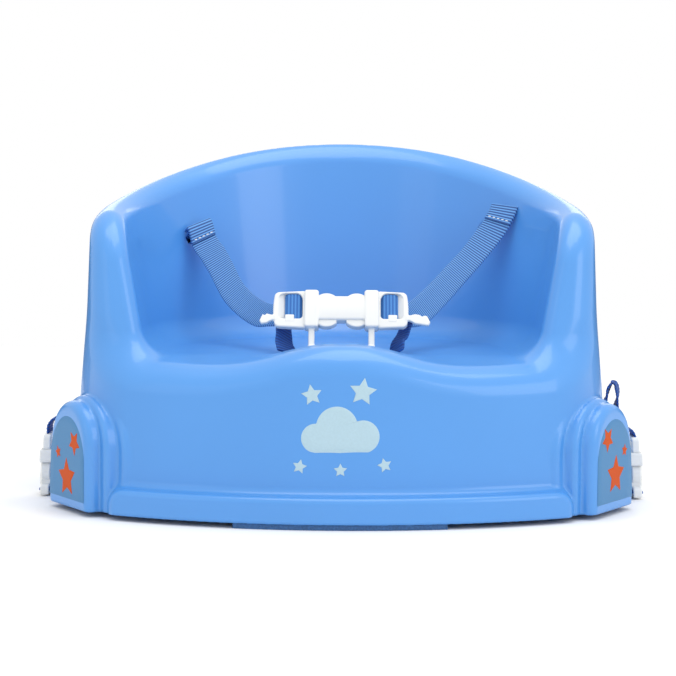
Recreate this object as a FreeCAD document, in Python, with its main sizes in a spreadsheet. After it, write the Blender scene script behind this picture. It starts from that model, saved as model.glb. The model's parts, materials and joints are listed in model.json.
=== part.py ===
import FreeCAD, Part
import math
import os

from FreeCAD import Placement, Rotation, Vector

# Booster seat: a moulded bucket seat with a lap harness and two chair straps.
# Frame: +Z up and -Y to the front. The origin is the middle of the footprint, on the surface
# that the seat stands on. "Left" and "right" are as seen from the front: left is -X.

SIZES = {
    # shell
    "rim_low": 3, "rim_top": 237, "wall": 3, "arc_y": -23, "base_radius": 166, "draft": 2.2,
    "side_radius": 300, "side_reach": 52, "apron_radius": 306, "skirt_radius": 315,
    "front_y": -143, "corner_round": 26, "skirt_tall": 16, "skirt_half": 143,
    "pan_z": 97, "bucket_radius": 120, "bucket_y": -26, "bucket_draft": 12, "bucket_round": 16,
    "arm_z": 183, "arm_front_y": -57, "column_foot_y": -83, "column_foot_z": 94,
    "arm_round": 22, "knee_y": 56, "knee_z": 203, "back_set": 9, "back_sag": 2.5,
    "pommel_tall": 10, "pommel_radius": 230, "pommel_back": -76, "pommel_pitch": 10,
    # pods at the front corners
    "pod_x": 153, "pod_y": -104, "pod_angle": 56.9, "pod_width": 58.5, "pod_tall": 66,
    "pod_depth": 44, "pod_step": 7, "pod_rise": 3, "pod_set": 9,
    "decal_width": 45, "decal_tall": 53, "decal_low": 5, "decal_thick": 0.4,
    # base
    "plate_gap": 0.6, "plate_thick": 2.5, "pad_half": 63, "pad_deep": 14, "pad_inset": 1.5,
    "rear_pad_radius": 12, "rear_pad_x": 78, "rear_pad_y": 84,
    "boss_x": 76, "boss_front_y": -75, "boss_rear_y": 52, "boss_radius": 5, "screw_radius": 1.8,
    "screw_head_radius": 3.6, "screw_head_tall": 2.2, "screw_long": 14,
    # webbing
    "web_wide": 19, "web_thick": 1.4,
    # harness
    "anchor_angle": 48, "anchor_z": 171, "anchor_tilt": 30, "slot_wide": 24, "slot_tall": 5,
    "slot_deep": 14, "crotch_y": -69, "crotch_wide": 25,
    "anchor_long": 34, "anchor_radius": 3, "strap_in": 6, "strap_end": 13.2, "strap_behind": 6.2,
    "buckle_y": -59, "buckle_z": 124, "buckle_lean": 25,
    # side-release buckles
    "buckle_half": 12.5, "collar_long": 9, "collar_thick": 10, "collar_inner": 11,
    "cavity_thick": 6.4, "waist_half": 9, "body_thick": 9, "socket_deep": 18.7, "web_end": 23.2,
    "frame_long": 19.6, "frame_thick": 5, "window_half": 10, "neck_long": 6, "neck_half": 10.8,
    "neck_thick": 6, "guide_long": 11, "guide_half": 2.6, "guide_thick": 4,
    "pivot_in": 3.4, "pivot_up": 8.4, "pivot_radius": 1.2, "pivot_gap": 0.08, "arm_long": 14,
    "arm_thick": 5, "arm_wide": 2.2, "tab_long": 8, "tab_top": 10.8, "seam": 0.3,
    "near_window_x": 4.6, "near_window": 6, "far_window_x": 13.8, "far_window": 6.4,
    "chair_window_x": 4.8, "chair_window": 4.4, "lever_long": 11, "lever_wide": 6,
    "lever_thick": 1.8, "wrap_x": 9.1, "wrap_long": 5.6, "wrap_thick": 8.4, "wrap_room": 3.1,
    "tail_long": 14,
    "leg_x": 18.6, "leg_wide": 3.6, "leg_thick": 3, "leg_long": 13, "loop_bar": 3.4,
    "chair_frame_long": 10, "chair_end_long": 7,
    # chair straps
    "side_slot_y": -8, "side_slot_z": 60, "side_bar_x": 155, "chair_buckle_x": 193,
    "chair_seam_z": 31, "back_slot_y": 40, "back_strap_z": 92, "back_gap": 0.3,
    "slide_wide": 27, "slide_long": 22, "slide_thick": 1.5,
}
NODES = []

doc = FreeCAD.newDocument("booster_seat")
sheet = doc.addObject("Spreadsheet::Sheet", "sizes")
for row, (alias, value) in enumerate(SIZES.items(), start=1):
    sheet.set(f"A{row}", alias)
    sheet.set(f"B{row}", str(value))
    sheet.setAlias(f"B{row}", alias)
doc.recompute()


def size(alias):
    """A driving size as the sheet holds it."""
    return float(getattr(sheet, alias))


def cells(text):
    """An expression with every alias in it written as a cell of the sheet."""
    words = sorted(SIZES, key=len, reverse=True)
    out, at = "", 0
    while at < len(text):
        for word in words:
            before = text[at - 1] if at else " "
            after = text[at + len(word):at + len(word) + 1] or " "
            if text.startswith(word, at) and not (before + after).replace(" ", "").strip("+-*/()"):
                out, at = out + f"sizes.{word}", at + len(word)
                break
        else:
            out, at = out + text[at], at + 1
    return out


def brick(name, spans):
    """A Part::Box with a corner at the origin; its spans are expressions in the sheet's aliases."""
    item = doc.addObject("Part::Box", name)
    for path, text in zip(("Length", "Width", "Height"), spans):
        item.setExpression(path, cells(text))
    return item


def block(name, low, spans):
    """A Part::Box given by its low corner and spans."""
    item = brick(name, spans)
    for path, text in zip("xyz", low):
        item.setExpression(f"Placement.Base.{path}", cells(text))
    return item


def centred(name, middle, spans):
    """A Part::Box given by its middle point and spans."""
    low = [f"({m}) - ({s}) / 2" for m, s in zip(middle, spans)]
    return block(name, low, spans)


def rod(name, base, radius, length, direction):
    """A Part::Cylinder from base along direction; base, radius and length are expressions."""
    item = doc.addObject("Part::Cylinder", name)
    item.setExpression("Radius", cells(radius))
    item.setExpression("Height", cells(length))
    item.Placement = Placement(Vector(), Rotation(Vector(0, 0, 1), Vector(*direction)))
    for path, text in zip("xyz", base):
        item.setExpression(f"Placement.Base.{path}", cells(text))
    return item


def fuse(name, *items):
    if len(items) == 1:
        return items[0]
    item = doc.addObject("Part::MultiFuse", name)
    item.Shapes = list(items)
    return item


def cut(name, base, *tools):
    item = doc.addObject("Part::Cut", name)
    item.Base = base
    item.Tool = fuse(name + "_tools", *tools)
    return item


def common(name, *items):
    item = doc.addObject("Part::MultiCommon", name)
    item.Shapes = list(items)
    return item


def node(item, name):
    """Marks an object as the sub-part that is written to parts/NAME.step."""
    item.Label = name
    NODES.append((name, item))
    return item


def body_sketch(body, role, offset=None):
    """A sketch on one of the body's own origin planes, at an expression's distance from it."""
    sketch = body.newObject("Sketcher::SketchObject", body.Name + "_outline")
    plane = next(f for f in body.Origin.OriginFeatures if f.Role == role)
    sketch.AttachmentSupport = [(plane, "")]
    sketch.MapMode = "FlatFace"
    if offset:
        sketch.setExpression("AttachmentOffset.Base.z", cells(offset))
    return sketch


def pad(body, sketch, length, taper=None, midplane=False, reverse=False):
    feature = body.newObject("PartDesign::Pad", body.Name + "_pad")
    feature.Profile = sketch
    feature.setExpression("Length", cells(length))
    if taper:
        feature.setExpression("TaperAngle", cells(taper))
    feature.Midplane = midplane
    feature.Reversed = reverse
    return feature


def new_body(name):
    return doc.addObject("PartDesign::Body", name)


def line(x0, y0, x1, y1):
    return Part.LineSegment(Vector(x0, y0, 0), Vector(x1, y1, 0))


def arc(start, middle, end):
    return Part.Arc(Vector(*start, 0), Vector(*middle, 0), Vector(*end, 0))


def chain(*points):
    """Straight lines through the points."""
    return [line(*a, *b) for a, b in zip(points, points[1:])]


def round_corner(first, second, corner, radius, toward_first, toward_second):
    """The end points and middle of an arc that rounds a corner between two directions."""
    a, b = Vector(*toward_first, 0).normalize(), Vector(*toward_second, 0).normalize()
    half = a.getAngle(b) / 2
    reach = radius / math.tan(half)
    centre = Vector(*corner, 0) + (a + b).normalize() * (radius / math.sin(half))
    start, end = Vector(*corner, 0) + a * reach, Vector(*corner, 0) + b * reach
    middle = centre - (a + b).normalize() * radius
    return (start.x, start.y), (middle.x, middle.y), (end.x, end.y)


# ---------------------------------------------------------------- seat shell


def plan_outline(inset, front_radius):
    """The closed plan outline at the rim: rear half circle, flared sides, bowed front."""
    radius = size("base_radius") - inset
    arc_y = size("arc_y")
    turn = size("side_radius")
    side_x = radius - turn + math.sqrt(turn**2 - size("side_reach")**2)
    side_y = arc_y - size("side_reach")
    front_centre = size("front_y") + size("skirt_radius")
    front = front_radius - inset
    corner_x = side_x - size("corner_round") * 0.75
    corner_y = front_centre - math.sqrt(front**2 - corner_x**2)
    bulge_x = side_x - size("corner_round") * 0.22
    bulge_y = (side_y + corner_y) / 2 - size("corner_round") * 0.06
    sides = []
    for turned in (1, -1):
        mid_dy = size("side_reach") / 2
        mid_x = radius - turn + math.sqrt(turn**2 - mid_dy**2)
        sides.append(arc((turned * radius, arc_y), (turned * mid_x, arc_y - mid_dy),
                         (turned * side_x, side_y)))
        sides.append(arc((turned * side_x, side_y), (turned * bulge_x, bulge_y),
                         (turned * corner_x, corner_y)))
    rear = arc((-radius, arc_y), (0, arc_y + radius), (radius, arc_y))
    bow = arc((-corner_x, corner_y), (0, front_centre - front), (corner_x, corner_y))
    return [rear, bow, *sides]


def tapered_form(name, inset):
    """The outer form, or with an inset the space just inside it, drafted inwards as it rises."""
    body = new_body(name)
    sketch = body_sketch(body, "XY_Plane", "rim_low")
    sketch.addGeometry(plan_outline(inset, size("apron_radius")), False)
    pad(body, sketch, "rim_top + 6", "-draft")
    return body


def side_profile(name, drop):
    """The seat seen from the side, from above the pan: column front, arm and rising back."""
    body = new_body(name)
    sketch = body_sketch(body, "YZ_Plane")
    rear = size("arc_y") + size("base_radius") + 10
    foot = (size("column_foot_y") + drop, size("column_foot_z"))
    corner = (size("arm_front_y") + drop, size("arm_z") - drop)
    knee = (size("knee_y"), size("knee_z") - drop)
    back = (size("arc_y") + size("base_radius") - size("back_set"), size("rim_top") - drop)
    toward_foot = (foot[0] - corner[0], foot[1] - corner[1])
    toward_knee = (knee[0] - corner[0], knee[1] - corner[1])
    start, middle, end = round_corner(foot, knee, corner, size("arm_round"), toward_foot,
                                      toward_knee)
    slope = (corner[1] - foot[1]) / (corner[0] - foot[0])
    low = (foot[0] - (foot[1] - 60) / slope, 60)
    sag = ((knee[0] + back[0]) / 2, (knee[1] + back[1]) / 2 - size("back_sag"))
    outline = chain(low, start) + [arc(start, middle, end)] + chain(end, knee)
    outline += [arc(knee, sag, back)] + chain(back, (rear, back[1] + 3), (rear, 60), low)
    sketch.addGeometry(outline, False)
    pad(body, sketch, "base_radius * 3", midplane=True)
    return body


def bucket(name, grow):
    """The bucket's space above the pan, open to the front; grow makes it larger all round."""
    body = new_body(name)
    sketch = body_sketch(body, "XY_Plane", f"pan_z - {grow}")
    radius = size("bucket_radius") + grow
    middle_y = size("bucket_y")
    front = size("front_y") - 40
    outline = [arc((-radius, middle_y), (0, middle_y + radius), (radius, middle_y))]
    outline += chain((radius, middle_y), (radius, front), (-radius, front), (-radius, middle_y))
    sketch.addGeometry(outline, False)
    feature = pad(body, sketch, "rim_top - pan_z + 40", "bucket_draft")
    doc.recompute()
    low_edges = [f"Edge{i}" for i, edge in enumerate(feature.Shape.Edges, start=1)
                 if edge.BoundBox.ZMax < size("pan_z") + 1 and edge.BoundBox.YMax > front + 1]
    soft = body.newObject("PartDesign::Fillet", name + "_round")
    soft.Base = (feature, low_edges)
    soft.setExpression("Radius", cells("bucket_round"))
    return body


def skirt(name, inset):
    """The stepped-out band along the foot of the front."""
    body = new_body(name)
    sketch = body_sketch(body, "XY_Plane", "rim_low")
    centre_y = size("front_y") + size("skirt_radius")
    radius = size("skirt_radius") - inset
    half = size("skirt_half") - inset
    end_y = centre_y - math.sqrt(radius**2 - half**2)
    inner_y = end_y + 24
    outline = [arc((-half, end_y), (0, centre_y - radius), (half, end_y))]
    outline += chain((half, end_y), (half, inner_y), (-half, inner_y), (-half, end_y))
    sketch.addGeometry(outline, False)
    pad(body, sketch, f"skirt_tall - {inset}")
    return body


def arch(half, tall, shift=0.0):
    """A flat-footed arch: straight sides under a round top."""
    spring = tall - half
    return [line(-half + shift, 0, half + shift, 0), line(half + shift, 0, half + shift, spring),
            arc((half + shift, spring), (shift, tall), (-half + shift, spring)),
            line(-half + shift, spring, -half + shift, 0)]


def pod_place(side, inward=0.0):
    """Where a pod's face stands: its local Y runs into the seat, and local X along the face."""
    angle = math.radians(size("pod_angle"))
    along = Vector(side * math.cos(angle), math.sin(angle), 0)
    inwards = Vector(-side * math.sin(angle), math.cos(angle), 0)
    middle = Vector(side * size("pod_x"), size("pod_y"), size("rim_low"))
    middle += along * (size("pod_width") / 2) + inwards * inward
    axes = Rotation(along * side, inwards, Vector(0, 0, 1), "XYZ")
    return Placement(middle, axes)


def pod_layer(name, side, half, tall, start, deep):
    """One arch-shaped layer of a pod, from its start depth inwards."""
    body = new_body(name)
    sketch = body_sketch(body, "XZ_Plane")
    sketch.addGeometry(arch(half, tall), False)
    feature = pad(body, sketch, str(deep), reverse=True)
    body.Placement = pod_place(side, start)
    return feature, body


def pod_layers(word, side, inset):
    """The pod and its two stepped borders, or with an inset the hollow inside them."""
    layers = []
    for step in range(3):
        half = size("pod_width") / 2 + step * size("pod_step") - inset
        tall = size("pod_tall") + step * size("pod_rise") - inset
        start = step * size("pod_set") + inset
        deep = size("pod_depth") - step * size("pod_set") - inset
        layers.append(pod_layer(f"{word}_pod_{step}", side, half, tall, start, deep)[1])
    return layers


def pommel(outer):
    """The low hump at the middle of the front lip, a shallow round bar that dips to the rear."""
    item = doc.addObject("Part::Cylinder", "pommel_bar")
    item.setExpression("Radius", cells("pommel_radius"))
    item.setExpression("Height", cells("pommel_radius"))
    pitch = math.radians(size("pommel_pitch"))
    axis = Vector(0, math.cos(pitch), -math.sin(pitch))
    top = size("pan_z") + size("pommel_tall")
    start = Vector(0, size("front_y") + 14, top - size("pommel_radius"))
    item.Placement = Placement(start - axis * 30, Rotation(Vector(0, 0, 1), axis))
    zone = block("pommel_zone", ("-base_radius", "front_y", "pan_z - wall"),
                 ("base_radius * 2", "pommel_back - front_y", "40"))
    return common("pommel", item, outer, zone)


def hull_form(word, inset):
    """The seat's outer mass with its skirt and pods; an inset gives the hollow inside the skin."""
    plan = tapered_form(f"{word}_plan", inset)
    upper = common(f"{word}_upper", plan, side_profile(f"{word}_profile", inset))
    zone = block(f"{word}_zone", ("-base_radius - 5", "front_y - 5", "0"),
                 ("base_radius * 2 + 10", "base_radius * 2", f"column_foot_z - {inset}"))
    lower = common(f"{word}_lower", plan, zone)
    pods = pod_layers(f"{word}_right", 1, inset) + pod_layers(f"{word}_left", -1, inset)
    return plan, fuse(f"{word}_form", upper, lower, skirt(f"{word}_skirt", inset), *pods)


def wall_radius(height):
    """The bucket's inner radius at a height."""
    rise = math.tan(math.radians(size("bucket_draft")))
    return size("bucket_radius") + (height - size("pan_z")) * rise


def anchor_frame(side):
    """Where a lap strap leaves the bucket wall: point, outward, strap-width and pull axes."""
    turn = math.radians(size("anchor_angle"))
    out = Vector(side * math.sin(turn), math.cos(turn), 0)
    level = Vector(-side * math.cos(turn), math.sin(turn), 0)
    up = Vector(0, 0, 1)
    tilt = math.radians(size("anchor_tilt"))
    point = Vector(0, size("bucket_y"), size("anchor_z")) + out * wall_radius(size("anchor_z"))
    width = level * math.cos(tilt) + up * math.sin(tilt)
    pull = level * math.sin(tilt) - up * math.cos(tilt)
    return point, out, width, pull


def anchor_slot(name, side):
    """The tool for a lap strap's slot through the inner wall only."""
    point, out, width = anchor_frame(side)[:3]
    item = brick(name, ("slot_wide", "slot_deep", "slot_tall"))
    middle = Vector(size("slot_wide") / 2, size("slot_deep") / 2, size("slot_tall") / 2)
    turn = Rotation(width, out, width.cross(out), "XYZ")
    item.Placement = Placement(point - turn.multVec(middle), turn)
    return item


def shell_slots():
    """Every slot in the skin: two for lap straps, one in the pan, two at the sides, two behind."""
    tools = [anchor_slot("lap_slot_left", -1), anchor_slot("lap_slot_right", 1)]
    tools.append(centred("crotch_slot", ("0", "crotch_y", "pan_z - 2"),
                         ("crotch_wide + 4", "slot_tall", "14")))
    for word, sign in (("left", "-1"), ("right", "1")):
        tools.append(centred(f"side_slot_{word}", (f"{sign} * 162", "side_slot_y", "side_slot_z"),
                             ("14", "slot_wide", "slot_tall")))
        tools.append(centred(f"back_slot_{word}", (f"{sign} * 150", "back_slot_y", "back_strap_z"),
                             ("26", "4", "slot_wide")))
    return tools


def boss_places():
    return [(sign, y) for sign in ("-1", "1") for y in ("boss_front_y", "boss_rear_y")]


def seat_shell():
    plan, outer = hull_form("outer", 0)
    hollow = hull_form("inner", size("wall"))[1]
    hollow = cut("hollow", hollow, bucket("bucket_backing", size("wall")))
    shell = cut("open_shell", outer, bucket("bucket_space", 0), hollow)
    bosses = []
    pilots = []
    for number, (sign, y) in enumerate(boss_places()):
        base = (f"{sign} * boss_x", y, "rim_low + plate_thick")
        bosses.append(rod(f"boss_{number}", base, "boss_radius", "pan_z - 8", (0, 0, 1)))
        pilots.append(rod(f"pilot_{number}", base, "screw_radius", "screw_long", (0, 0, 1)))
    bossed = fuse("bossed_shell", shell, pommel(plan), *bosses)
    return node(cut("seat_shell", bossed, *shell_slots(), *pilots), "seat_shell")


# ---------------------------------------------------------------- base


def base_plate():
    """The lid under the hollow, inside the rim, skirt and pods, with a hole for each screw."""
    slab = block("plate_zone", ("-base_radius * 1.5", "-base_radius * 1.5", "rim_low"),
                 ("base_radius * 3", "base_radius * 3", "plate_thick"))
    blank = common("plate_blank", hull_form("plate", size("wall") + size("plate_gap"))[1], slab)
    holes = [rod(f"plate_hole_{i}", (f"{sign} * boss_x", y, "0"), "screw_radius + 0.3", "20",
                 (0, 0, 1)) for i, (sign, y) in enumerate(boss_places())]
    return node(cut("base_plate", blank, *holes), "base_plate")


def base_screws():
    """Four self-tapping screws: a round head under the plate and a shank up into the boss."""
    solids = []
    for number, (sign, y) in enumerate(boss_places()):
        place = (f"{sign} * boss_x", y)
        head = rod(f"screw_head_{number}", (*place, "rim_low - screw_head_tall"),
                   "screw_head_radius", "screw_head_tall", (0, 0, 1))
        shank = rod(f"screw_shank_{number}", (*place, "rim_low - 0.1"), "screw_radius - 0.1",
                    "screw_long", (0, 0, 1))
        solids.append(fuse(f"screw_{number}", head, shank))
    group = doc.addObject("Part::Compound", "base_screws")
    group.Links = solids
    return node(group, "base_screws")


def front_pad():
    """The dark grip strip under the front rim, following its curve."""
    body = new_body("front_grip_pad")
    sketch = body_sketch(body, "XY_Plane")
    centre_y = size("front_y") + size("skirt_radius")
    half = size("pad_half")
    outer, inner = size("skirt_radius") - size("pad_inset"), size("skirt_radius") - size("pad_deep")
    out_y, in_y = (centre_y - math.sqrt(r**2 - half**2) for r in (outer, inner))
    outline = [arc((-half, out_y), (0, centre_y - outer), (half, out_y)),
               line(half, out_y, half, in_y),
               arc((half, in_y), (0, centre_y - inner), (-half, in_y)),
               line(-half, in_y, -half, out_y)]
    sketch.addGeometry(outline, False)
    pad(body, sketch, "rim_low")
    return node(body, "front_grip_pad")


def rear_pads():
    for word, sign in (("left", "-1"), ("right", "1")):
        disc = rod(f"rear_{word}_grip_pad", (f"{sign} * rear_pad_x", "rear_pad_y", "0"),
                   "rear_pad_radius", "rim_low", (0, 0, 1))
        node(disc, f"rear_{word}_grip_pad")


def side_decals():
    """A thin arch-shaped label on each pod's face."""
    for word, side in (("left", -1), ("right", 1)):
        body = new_body(f"{word}_side_decal")
        sketch = body_sketch(body, "XZ_Plane")
        sketch.addGeometry(arch(size("decal_width") / 2, size("decal_tall")), False)
        pad(body, sketch, "decal_thick", reverse=True)
        place = pod_place(side, -size("decal_thick"))
        place.Base.z += size("decal_low")
        body.Placement = place
        node(body, f"{word}_side_decal")


# ---------------------------------------------------------------- webbing


def ribbon(name, points, widths, wide, thick):
    """A flat strap as one closed solid: rectangles across a centreline, joined by ruled faces."""
    wires = []
    for i, (point, width) in enumerate(zip(points, widths)):
        before = points[max(i - 1, 0)]
        after = points[min(i + 1, len(points) - 1)]
        along = (after - before).normalize()
        across = (width - along * width.dot(along)).normalize()
        face = along.cross(across)
        turn = 1.0
        if 0 < i < len(points) - 1:
            into = (point - before).normalize()
            turn = max(into.dot(along), 0.6)
        a, b = across * (wide / 2), face * (thick / 2 / turn)
        corners = [point + a + b, point - a + b, point - a - b, point + a - b]
        wires.append(Part.makePolygon([*corners, corners[0]]))
    item = doc.addObject("Part::Feature", name)
    solid = Part.makeLoft(wires, True, True)
    if solid.Volume < 0:
        solid.reverse()
    item.Shape = solid
    return item


def bezier(start, near_start, near_end, end, steps):
    """Points along a cubic curve."""
    out = []
    for i in range(steps + 1):
        u = i / steps
        v = 1 - u
        out.append(start * v**3 + near_start * (3 * v * v * u) + near_end * (3 * v * u * u)
                   + end * u**3)
    return out


def buckle_place():
    """Where the harness buckle sits: local X across, Z up its lean, Y through its thickness."""
    middle = Vector(0, size("buckle_y"), size("buckle_z"))
    return Placement(middle, Rotation(Vector(1, 0, 0), -size("buckle_lean")))


def lap_strap(side, word):
    """From the bar in the hollow wall, out of its slot and down to the back of the plug."""
    point, out, width, pull = anchor_frame(side)
    place = buckle_place()
    end = place.multVec(Vector(side * (size("web_end") + size("strap_end")),
                               size("strap_behind"), 0))
    upright = place.Rotation.multVec(Vector(0, 0, 1))
    behind = point + out * size("strap_in")
    mouth = point - out * 3 + pull * 1.5
    lead = mouth - out * 11 + pull * 34
    arrive = end + place.Rotation.multVec(Vector(side * 30, 14, 0))
    run = bezier(mouth, lead, arrive, end, 8)
    points = [behind, point + out * 1.5] + run
    widths = [width, width] + [width + (upright - width) * (i / 8) for i in range(9)]
    strap = ribbon(f"{word}_waist_strap", points, widths, size("web_wide"), size("web_thick"))
    node(strap, f"{word}_waist_strap")


def lap_anchor(side, word):
    """The bar in the hollow wall that the strap's sewn loop goes round."""
    point, out, width = anchor_frame(side)[:3]
    half = size("anchor_long") / 2
    item = doc.addObject("Part::Cylinder", f"{word}_waist_anchor")
    item.setExpression("Radius", cells("anchor_radius"))
    item.setExpression("Height", cells("anchor_long"))
    start = point + out * (size("strap_in") + size("anchor_radius")) - width * half
    item.Placement = Placement(start, Rotation(Vector(0, 0, 1), width))
    node(item, f"{word}_waist_anchor")


def crotch_strap():
    """A short loop of webbing from under the pan to the buckle's cross bar."""
    bar = buckle_place().multVec(Vector(0, 0, -size("buckle_half") - size("leg_long")))
    low = size("pan_z") - size("wall") - 6
    y = size("crotch_y")
    points = [Vector(0, y, low), Vector(0, y, size("pan_z")), Vector(0, bar.y, bar.z - 2.8)]
    strap = ribbon("crotch_strap", points, [Vector(1, 0, 0)] * 3, size("crotch_wide"),
                   size("web_thick"))
    node(strap, "crotch_strap")
    anchor = rod("crotch_anchor", ("-crotch_wide / 2 - 5", "crotch_y", "pan_z - wall - 8.5"),
                 "2.5", "crotch_wide + 10", (1, 0, 0))
    node(anchor, "crotch_anchor")


# ---------------------------------------------------------------- side-release buckles
# Local frame of one half: X = 0 at the seam, the plug's frame on +X and the socket on -X;
# Z across the webbing and Y through the thickness.


def socket_half(word):
    """Collar and side-windowed body that take one plug: solids, and the spaces cut from them."""
    collar = centred(f"{word}_collar", ("-collar_long / 2", "0", "0"),
                     ("collar_long", "collar_thick", "buckle_half * 2"))
    shell = centred(f"{word}_socket", ("-(web_end + collar_long) / 2", "0", "0"),
                    ("web_end - collar_long", "body_thick", "waist_half * 2"))
    mouth = centred(f"{word}_mouth", ("-collar_long / 2", "0", "0"),
                    ("collar_long + 0.02", "cavity_thick", "collar_inner * 2"))
    inner = centred(f"{word}_inner", ("-(socket_deep + collar_long) / 2", "0", "0"),
                    ("socket_deep - collar_long + 0.02", "cavity_thick", "waist_half * 2 + 1"))
    return [collar, shell], [mouth, inner]


def turned(name, item, place):
    """A copy of an item moved as a whole: a fuse of one, so that the item stays where it is."""
    copy = doc.addObject("Part::Compound", name)
    copy.Links = [item]
    copy.Placement = place
    return copy


def plug(name, frame_long, windows, lever=False):
    """Frame with webbing windows, neck, middle guide and round seats for two squeeze arms."""
    frame = centred(f"{name}_frame", (f"seam + {frame_long} / 2", "0", "0"),
                    (frame_long, "frame_thick", "buckle_half * 2"))
    extra = []
    if lever:
        middle = (f"seam + {frame_long} + lever_long / 2 - 0.1", "0.5 - frame_thick / 2", "-6")
        spans = ("lever_long", "lever_thick", "lever_wide")
        extra.append(centred(f"{name}_lever", middle, spans))
    neck = centred(f"{name}_neck", ("(seam + 0.1 - neck_long) / 2", "0", "0"),
                   ("neck_long + seam + 0.1", "neck_thick", "neck_half * 2"))
    guide = centred(f"{name}_guide", ("-neck_long - guide_long / 2 + 0.1", "0", "0"),
                    ("guide_long", "guide_thick", "guide_half * 2"))
    tools = []
    for number, (middle, width) in enumerate(windows):
        tools.append(centred(f"{name}_window_{number}", (middle, "0", "0"),
                             (width, "frame_thick + 1", "window_half * 2")))
    for word, sign in (("upper", ""), ("lower", "-")):
        tools.append(rod(f"{name}_seat_{word}", ("-pivot_in", "-4", f"{sign}pivot_up"),
                         "pivot_radius + pivot_gap", "8", (0, 1, 0)))
        middle = ("-pivot_in - 2.5", "0", f"{sign}(pivot_up - 0.6)")
        tools.append(centred(f"{name}_gap_{word}", middle, ("5", "8", "arm_wide + 1.6")))
    return cut(name, fuse(f"{name}_blank", frame, neck, guide, *extra), *tools)


def squeeze_arm(name, sign):
    """One springy arm: a round root in the neck, a slim bar and a finger tab that stands proud."""
    root = rod(f"{name}_root", ("-pivot_in", "-arm_thick / 2", f"{sign}pivot_up"),
               "pivot_radius", "arm_thick", (0, 1, 0))
    bar = centred(f"{name}_bar", ("-pivot_in - arm_long / 2", "0", f"{sign}(pivot_up - 0.1)"),
                  ("arm_long", "arm_thick", "arm_wide - 0.2"))
    tab = centred(f"{name}_tab", ("-pivot_in - arm_long + tab_long / 2", "0",
                                  f"{sign}(pivot_up + tab_top) / 2"),
                  ("tab_long", "arm_thick", "tab_top - pivot_up"))
    return fuse(name, root, bar, tab)


def placed_node(item, place, name):
    item.Placement = place
    return node(item, name)


def harness_buckle():
    """Double receiver with its U-shaped crotch loop, and a plug with two arms at each end."""
    centre = buckle_place()
    reach = size("web_end")
    solids, spaces = [], []
    for word, side in (("left", -1), ("right", 1)):
        turn = Rotation(Vector(0, 0, 1), 0 if side > 0 else 180)
        half_place = Placement(Vector(side * reach, 0, 0), turn)
        half_solids, half_spaces = socket_half(f"receiver_{word}")
        solids += [turned(f"{item.Name}_set", item, half_place) for item in half_solids]
        spaces += [turned(f"{item.Name}_set", item, half_place) for item in half_spaces]
        solids.append(centred(f"receiver_leg_{word}",
                              (f"{side} * leg_x", "0", "-buckle_half - leg_long / 2"),
                              ("leg_wide", "leg_thick", "leg_long + loop_bar")))
    solids.append(centred("receiver_cross_bar", ("0", "0", "-buckle_half - leg_long"),
                          ("leg_x * 2 + leg_wide", "leg_thick", "loop_bar")))
    receiver = cut("buckle_receiver", fuse("receiver_blank", *solids), *spaces)
    placed_node(receiver, centre, "buckle_receiver")
    for word, side in (("left", -1), ("right", 1)):
        turn = Rotation(Vector(0, 0, 1), 0 if side > 0 else 180)
        place = centre.multiply(Placement(Vector(side * reach, 0, 0), turn))
        windows = (("seam + near_window_x", "near_window"), ("seam + far_window_x", "far_window"))
        blank = plug(f"{word}_plug", "frame_long", windows, lever=True)
        placed_node(blank, place, f"{word}_plug")
        placed_node(squeeze_arm(f"{word}_plug_upper_arm", ""), place, f"{word}_plug_upper_arm")
        placed_node(squeeze_arm(f"{word}_plug_lower_arm", "-"), place, f"{word}_plug_lower_arm")
        placed_node(strap_wrap(f"{word}_strap_tail"), place, f"{word}_strap_tail")


def strap_wrap(name):
    """The webbing round the plug's middle bar, with its tail hanging behind the frame."""
    middle = "seam + wrap_x"
    sleeve = centred(f"{name}_sleeve", (middle, "0", "0"), ("wrap_long", "wrap_thick", "web_wide"))
    room = centred(f"{name}_room", (middle, "0", "0"), ("wrap_room", "frame_thick + 0.1", "40"))
    flap = centred(f"{name}_flap", (middle, "(wrap_thick - web_thick) / 2", "-web_wide / 2 - 5"),
                   ("wrap_long", "web_thick", "tail_long"))
    return cut(name, fuse(f"{name}_blank", sleeve, flap), room)


def chair_place(side):
    """A chair buckle hangs upright: local X up, Z along the seat's depth, Y across."""
    turn = Rotation(Vector(0, 0, 1), Vector(side, 0, 0), Vector(0, side, 0), "XYZ")
    return Placement(Vector(side * size("chair_buckle_x"), size("side_slot_y"),
                            size("chair_seam_z")), turn)


def chair_buckles():
    for word, side in (("left", -1), ("right", 1)):
        place = chair_place(side)
        solids, spaces = socket_half(f"{word}_chair")
        end = centred(f"{word}_chair_end", ("-web_end - chair_end_long / 2 + 0.1", "0", "0"),
                      ("chair_end_long", "frame_thick", "buckle_half * 2"))
        spaces.append(centred(f"{word}_chair_window", ("-web_end - chair_end_long / 2", "0", "0"),
                              ("chair_end_long - 4", "frame_thick + 1", "window_half * 2")))
        body = cut(f"{word}_chair_buckle", fuse(f"{word}_chair_blank", *solids, end), *spaces)
        placed_node(body, place, f"{word}_chair_buckle")
        windows = (("seam + chair_window_x", "chair_window"),)
        name = f"{word}_chair_plug"
        placed_node(plug(name, "chair_frame_long", windows), place, name)
        front, rear = ("-", "") if side > 0 else ("", "-")
        placed_node(squeeze_arm(f"{name}_front_arm", front), place, f"{name}_front_arm")
        placed_node(squeeze_arm(f"{name}_rear_arm", rear), place, f"{name}_rear_arm")
        chair_tab(word, side)


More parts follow.
